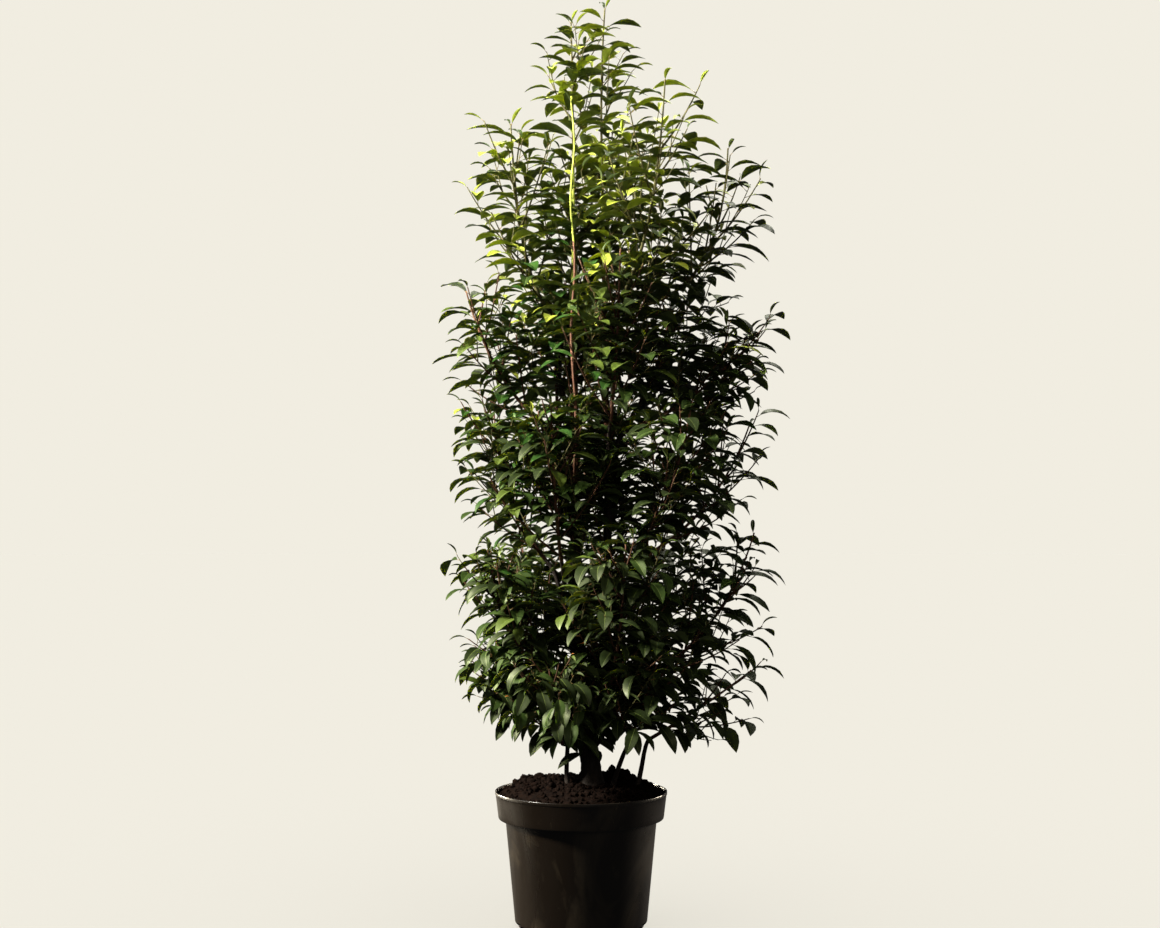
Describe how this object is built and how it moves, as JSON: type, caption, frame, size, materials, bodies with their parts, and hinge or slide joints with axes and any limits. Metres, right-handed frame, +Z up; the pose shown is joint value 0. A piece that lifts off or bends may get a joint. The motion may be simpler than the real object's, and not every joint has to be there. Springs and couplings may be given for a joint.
{
  "type": "potted portuguese laurel",
  "caption": "Narrow upright evergreen shrub with pointed glossy leaves on several stems, standing in a round tapered plastic nursery pot filled with potting mix.",
  "frame": {"origin": "centre of the flat pad on the pot's underside", "axes": "+Z up, +X to the right and -Y towards the front as the picture shows it"},
  "size_m": [0.6328, 0.5314, 1.6332],
  "materials": {
    "pot": "satin black-brown",
    "soil": "matt, crumbly",
    "bark": "matt, finely cracked",
    "shaded_leaves": "glossy",
    "leaves": "glossy",
    "young_leaves": "glossy"
  },
  "bodies": {
    "root": {"bough_high_back": "bark", "bough_high_front": "bark", "bough_high_left": "bark", "bough_high_right": "bark", "bough_low_back": "bark", "bough_low_front_left": "bark", "bough_low_front_right": "bark", "bough_low_left": "bark", "bough_low_right": "bark", "bough_middle_back": "bark", "bough_middle_front_left": "bark", "bough_middle_front_right": "bark", "bough_middle_left": "bark", "bough_middle_right": "bark", "bough_shoulder_back_left": "bark", "bough_shoulder_back_right": "bark", "bough_shoulder_front": "bark", "bough_shoulder_left": "bark", "bough_shoulder_right": "bark", "bough_waist_back_left": "bark", "bough_waist_back_right": "bark", "bough_waist_front": "bark", "bough_waist_front_left": "bark", "bough_waist_right": "bark", "leaves_high_back": "young_leaves", "leaves_high_front": "young_leaves", "leaves_high_left": "young_leaves", "leaves_high_right": "young_leaves", "leaves_low_back": "shaded_leaves", "leaves_low_front_left": "shaded_leaves", "leaves_low_front_right": "shaded_leaves", "leaves_low_left": "shaded_leaves", "leaves_low_right": "shaded_leaves", "leaves_middle_back": "leaves", "leaves_middle_front_left": "leaves", "leaves_middle_front_right": "leaves", "leaves_middle_left": "leaves", "leaves_middle_right": "leaves", "leaves_shoulder_back_left": "leaves", "leaves_shoulder_back_right": "leaves", "leaves_shoulder_front": "leaves", "leaves_shoulder_left": "leaves", "leaves_shoulder_right": "leaves", "leaves_top_of_second_leader": "young_leaves", "leaves_top_of_trunk": "young_leaves", "leaves_waist_back_left": "shaded_leaves", "leaves_waist_back_right": "shaded_leaves", "leaves_waist_front": "shaded_leaves", "leaves_waist_front_left": "shaded_leaves", "leaves_waist_right": "shaded_leaves", "pot": "pot", "second_leader": "bark", "soil": "soil", "trunk": "bark"}
  },
  "joints": []
}
